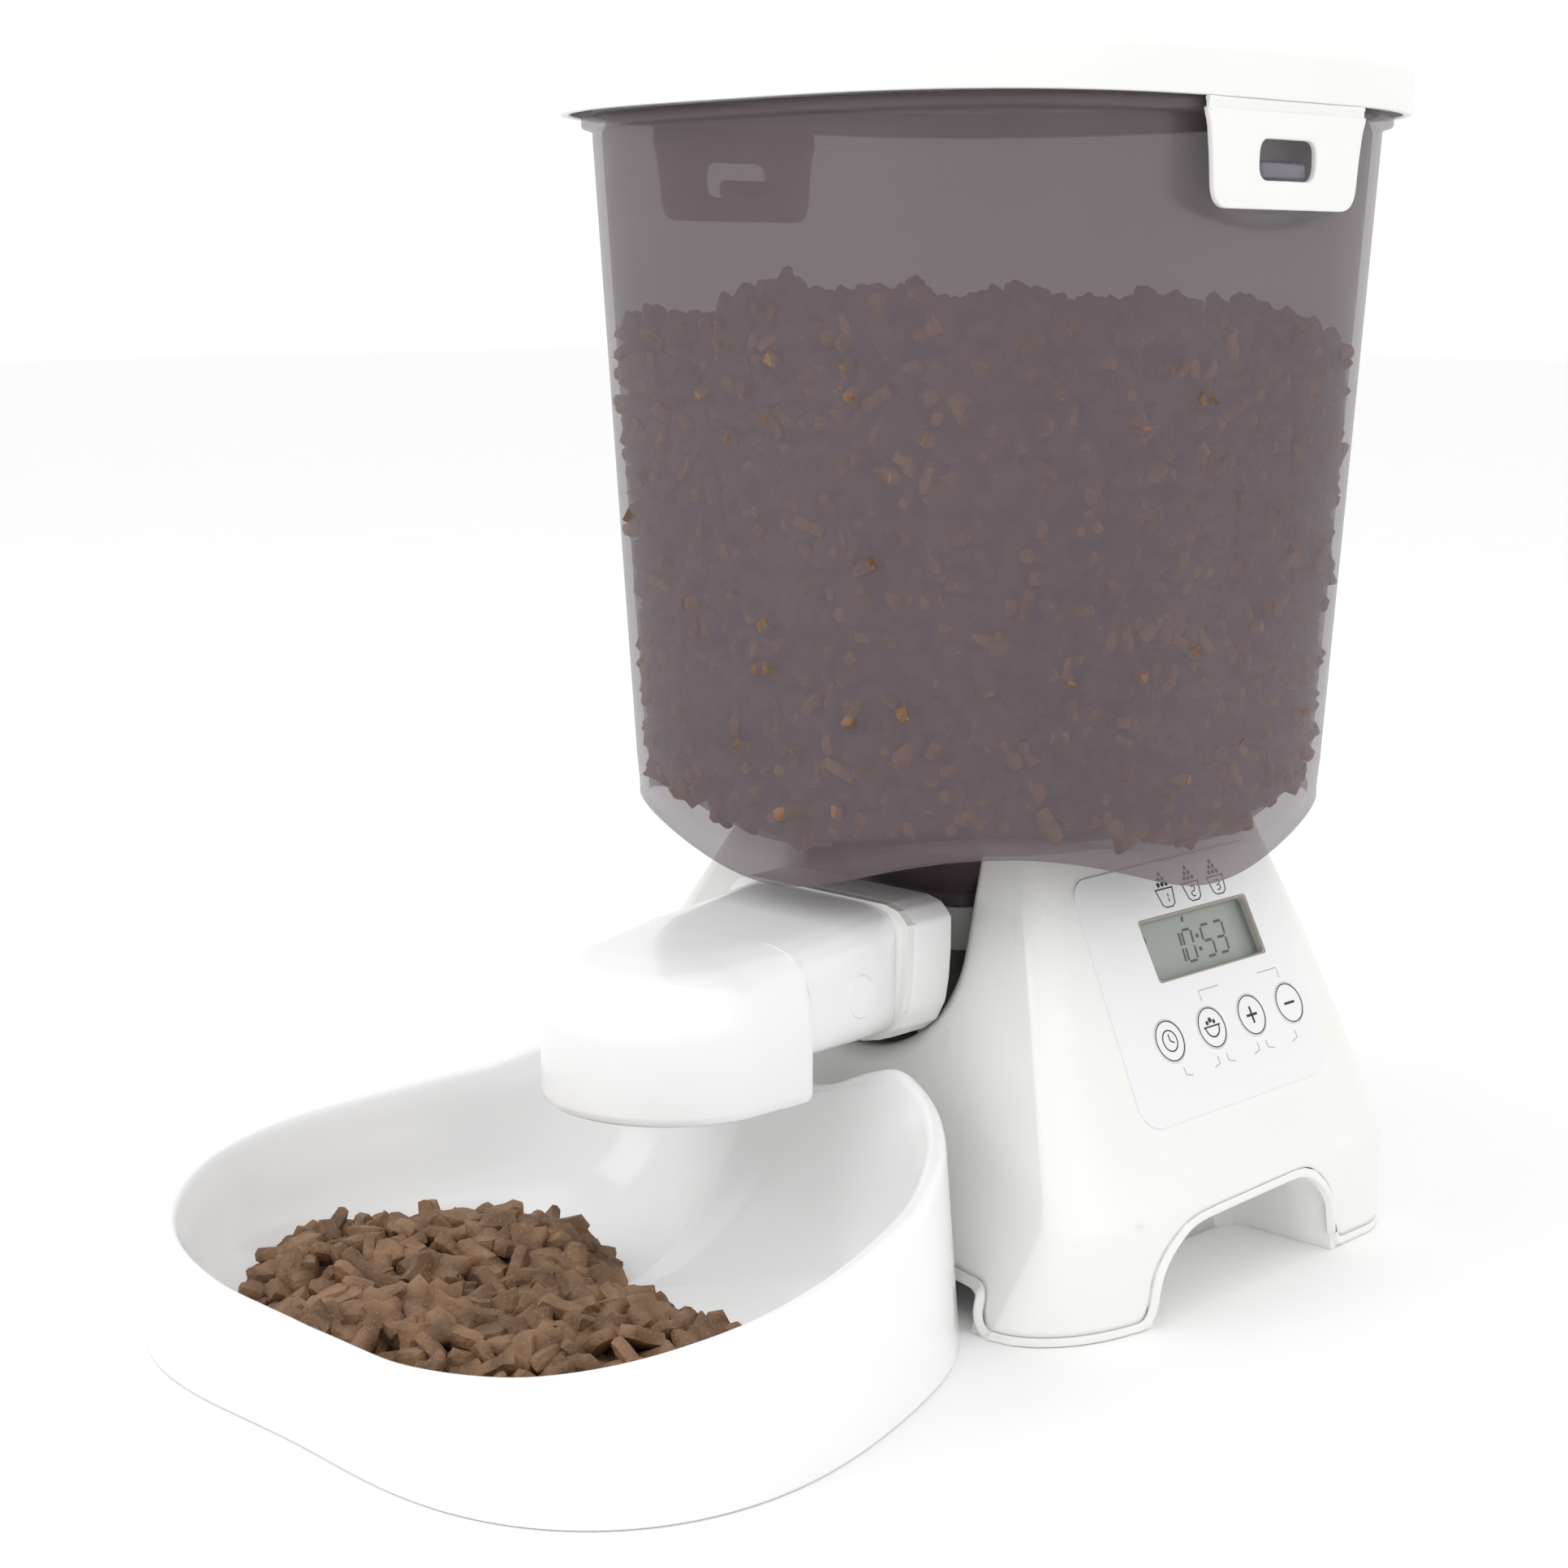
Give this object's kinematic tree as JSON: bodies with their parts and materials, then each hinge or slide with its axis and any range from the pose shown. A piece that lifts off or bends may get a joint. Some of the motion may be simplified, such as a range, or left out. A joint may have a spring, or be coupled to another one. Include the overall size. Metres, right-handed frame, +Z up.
{
  "type": "automatic pet feeder",
  "caption": "Automatic dry-food feeder: lidded smoky hopper on a white stand with display and buttons, a nozzle and a clip-on bowl, driven by a geared auger.",
  "frame": {"origin": "centre of the footprint's bounding box, on the floor", "axes": "+Z up, -Y towards the bowl's front edge, +X towards the side with the display and buttons"},
  "size_m": [0.237, 0.4, 0.374],
  "materials": {
    "white_plastic": "satin moulded",
    "silicone": "matte",
    "smoky_plastic": "frosted translucent",
    "spring_steel": "plain",
    "label_film": "printed film",
    "clear_window": "clear",
    "lcd_glass": "grey green",
    "board": "solder mask",
    "black_plastic": "moulded",
    "auger_plastic": "moulded",
    "steel": "plain",
    "gear_plastic": "acetal",
    "motor_can": "plated",
    "brass": "machined",
    "gloss_white": "polished",
    "cell_jacket": "printed jacket"
  },
  "bodies": {
    "lid": {"lid": "white_plastic", "lid_seal": "silicone"},
    "latch_right": {"latch_right": "white_plastic"},
    "latch_left": {"latch_left": "white_plastic"},
    "hopper": {"hopper": "smoky_plastic"},
    "base": {"stand_shell": "white_plastic", "base_cover": "white_plastic", "cell_1": "cell_jacket", "cell_2": "cell_jacket", "cell_3": "cell_jacket", "cell_4": "cell_jacket", "contact_right": "spring_steel", "contact_left": "spring_steel", "label": "label_film", "lcd_window": "clear_window", "lcd_module": "lcd_glass", "circuit_board": "board", "tact_switches": "black_plastic", "feed_housing": "white_plastic", "gear_pin_1": "steel", "gear_pin_2": "steel", "gearbox_front": "gear_plastic", "gearbox_rear": "gear_plastic", "motor": "motor_can", "screw_1": "steel", "screw_2": "steel", "screw_3": "steel", "screw_4": "steel"},
    "battery_door": {"battery_door": "white_plastic"},
    "button_1": {"button_1": "label_film"},
    "button_2": {"button_2": "label_film"},
    "button_3": {"button_3": "label_film"},
    "button_4": {"button_4": "label_film"},
    "auger": {"auger": "auger_plastic", "drive_shaft": "steel", "output_gear": "gear_plastic"},
    "compound_1": {"compound_gear_1": "gear_plastic"},
    "compound_2": {"compound_gear_2": "gear_plastic"},
    "pinion": {"motor_pinion": "brass"},
    "nozzle": {"nozzle": "gloss_white"},
    "snap_right": {"snap_button_right": "gloss_white"},
    "snap_left": {"snap_button_left": "gloss_white"},
    "bowl": {"bowl": "gloss_white"}
  },
  "joints": [
    {"name": "hopper_lift", "type": "slide", "parent": "base", "child": "hopper", "axis": [0, 0, 1], "range_m": [0, 0.2]},
    {"name": "lid_lift", "type": "slide", "parent": "hopper", "child": "lid", "axis": [0, 0, 1], "range_m": [0, 0.08]},
    {"name": "latch_right_swing", "type": "hinge", "parent": "lid", "child": "latch_right", "pos_m": [0.1136, 0.08, 0.3545], "axis": [0, -1, 0], "range_deg": [0, 50]},
    {"name": "latch_left_swing", "type": "hinge", "parent": "lid", "child": "latch_left", "pos_m": [-0.1136, 0.08, 0.3545], "axis": [0, 1, 0], "range_deg": [0, 50]},
    {"name": "nozzle_slide", "type": "slide", "parent": "base", "child": "nozzle", "axis": [0, -1, 0], "range_m": [0, 0.05]},
    {"name": "snap_right_press", "type": "slide", "parent": "nozzle", "child": "snap_right", "axis": [-1, 0, 0], "range_m": [0, 0.003], "stiffness_N_per_m": 500},
    {"name": "snap_left_press", "type": "slide", "parent": "nozzle", "child": "snap_left", "axis": [1, 0, 0], "range_m": [0, 0.003], "stiffness_N_per_m": 500},
    {"name": "bowl_slide", "type": "slide", "parent": "base", "child": "bowl", "axis": [0, -1, 0], "range_m": [0, 0.018]},
    {"name": "battery_door_drop", "type": "slide", "parent": "base", "child": "battery_door", "axis": [0, 0, -1], "range_m": [0, 0.03]},
    {"name": "auger_spin", "type": "hinge", "parent": "base", "child": "auger", "pos_m": [0, 0.08, 0.0935], "axis": [0, 1, 0], "continuous": true},
    {"name": "compound_2_spin", "type": "hinge", "parent": "base", "child": "compound_2", "pos_m": [0, 0.11, 0.0679], "axis": [0, 1, 0], "continuous": true},
    {"name": "compound_1_spin", "type": "hinge", "parent": "base", "child": "compound_1", "pos_m": [0.02217, 0.11, 0.0551], "axis": [0, 1, 0], "continuous": true},
    {"name": "pinion_spin", "type": "hinge", "parent": "base", "child": "pinion", "pos_m": [0.04777, 0.1, 0.0551], "axis": [0, 1, 0], "continuous": true},
    {"name": "button_1_press", "type": "slide", "parent": "base", "child": "button_1", "axis": [-0.8878, 0, -0.4602], "range_m": [0, 0.001], "stiffness_N_per_m": 500},
    {"name": "button_2_press", "type": "slide", "parent": "base", "child": "button_2", "axis": [-0.8878, 0, -0.4602], "range_m": [0, 0.001], "stiffness_N_per_m": 500},
    {"name": "button_3_press", "type": "slide", "parent": "base", "child": "button_3", "axis": [-0.8878, 0, -0.4602], "range_m": [0, 0.001], "stiffness_N_per_m": 500},
    {"name": "button_4_press", "type": "slide", "parent": "base", "child": "button_4", "axis": [-0.8878, 0, -0.4602], "range_m": [0, 0.001], "stiffness_N_per_m": 500}
  ],
  "couplings": [
    {"joint": "compound_2_spin", "follows": "auger_spin", "ratio": -3},
    {"joint": "compound_1_spin", "follows": "auger_spin", "ratio": 9},
    {"joint": "pinion_spin", "follows": "auger_spin", "ratio": -27}
  ]
}
